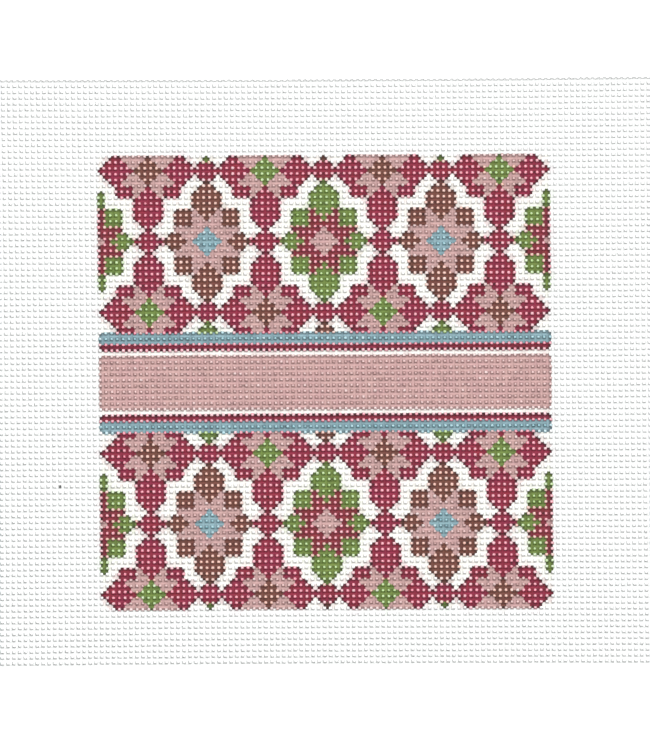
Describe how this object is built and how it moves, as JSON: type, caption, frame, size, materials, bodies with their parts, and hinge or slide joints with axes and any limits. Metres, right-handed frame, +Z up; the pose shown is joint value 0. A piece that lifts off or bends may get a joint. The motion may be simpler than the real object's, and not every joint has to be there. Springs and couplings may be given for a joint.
{
  "type": "painted needlepoint canvas",
  "caption": "Flat cut piece of open plain-weave canvas with a square pattern of medallions, flowers and a striped border painted on its threads, ready to be stitched.",
  "frame": {"origin": "middle of the canvas's underside, on the surface it lies on", "axes": "+X across the canvas along the weft threads, +Y up the design along the warp threads, +Z up from the table out of the painted side"},
  "size_m": [0.1624, 0.1412, 0.0005],
  "materials": {
    "canvas_cotton": "matt sized cotton, painted with matt acrylic inside the design"
  },
  "bodies": {
    "root": {"warp_threads": "canvas_cotton", "weft_threads": "canvas_cotton"}
  },
  "joints": []
}
